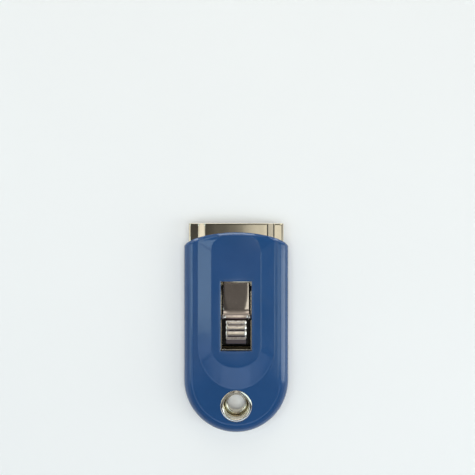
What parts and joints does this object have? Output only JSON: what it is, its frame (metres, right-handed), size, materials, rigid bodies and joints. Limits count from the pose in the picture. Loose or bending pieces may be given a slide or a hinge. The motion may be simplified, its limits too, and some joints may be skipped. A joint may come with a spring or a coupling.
{
  "type": "razor blade scraper",
  "caption": "Flat retractable razor blade scraper: plated steel case in a blue vinyl grip sleeve, with a ribbed thumb slide, a single-edge blade inside and a hang hole.",
  "frame": {"origin": "middle of the outline on the back face, with the blade drawn in", "axes": "+Y out of the blade mouth along the length, +Z out of the front face with the thumb button, X across the width"},
  "size_m": [0.045, 0.0898, 0.0109],
  "materials": {
    "grip_vinyl": "smooth glossy vinyl",
    "case_plate": "bright nickel plate",
    "eyelet_plate": "bright nickel plate",
    "carrier_steel": "zinc plate",
    "rivet_steel": "plain",
    "blade_steel": "ground",
    "spine_steel": "satin",
    "leaf_steel": "satin nickel plate",
    "button_plate": "bright nickel plate"
  },
  "bodies": {
    "case": {"grip_sleeve": "grip_vinyl", "front_shell": "case_plate", "back_shell": "case_plate", "cup_washer": "eyelet_plate", "hang_eyelet": "eyelet_plate"},
    "carriage": {"blade_carrier": "carrier_steel", "blade_pegs": "rivet_steel", "razor_blade": "blade_steel", "blade_spine": "spine_steel", "lock_leaf": "leaf_steel", "leaf_rivets": "rivet_steel"},
    "thumb": {"thumb_button": "button_plate", "button_rivets": "rivet_steel"}
  },
  "joints": [
    {"name": "blade_slide", "type": "slide", "parent": "case", "child": "carriage", "axis": [0, 1, 0], "range_m": [0, 0.0122], "deforming": ["lock_leaf"]},
    {"name": "button_press", "type": "hinge", "parent": "carriage", "child": "thumb", "pos_m": [0, 0.0196, 0.00465], "axis": [1, 0, 0], "range_deg": [0, 3], "stiffness_Nm_per_rad": 2, "deforming": ["lock_leaf"]}
  ]
}
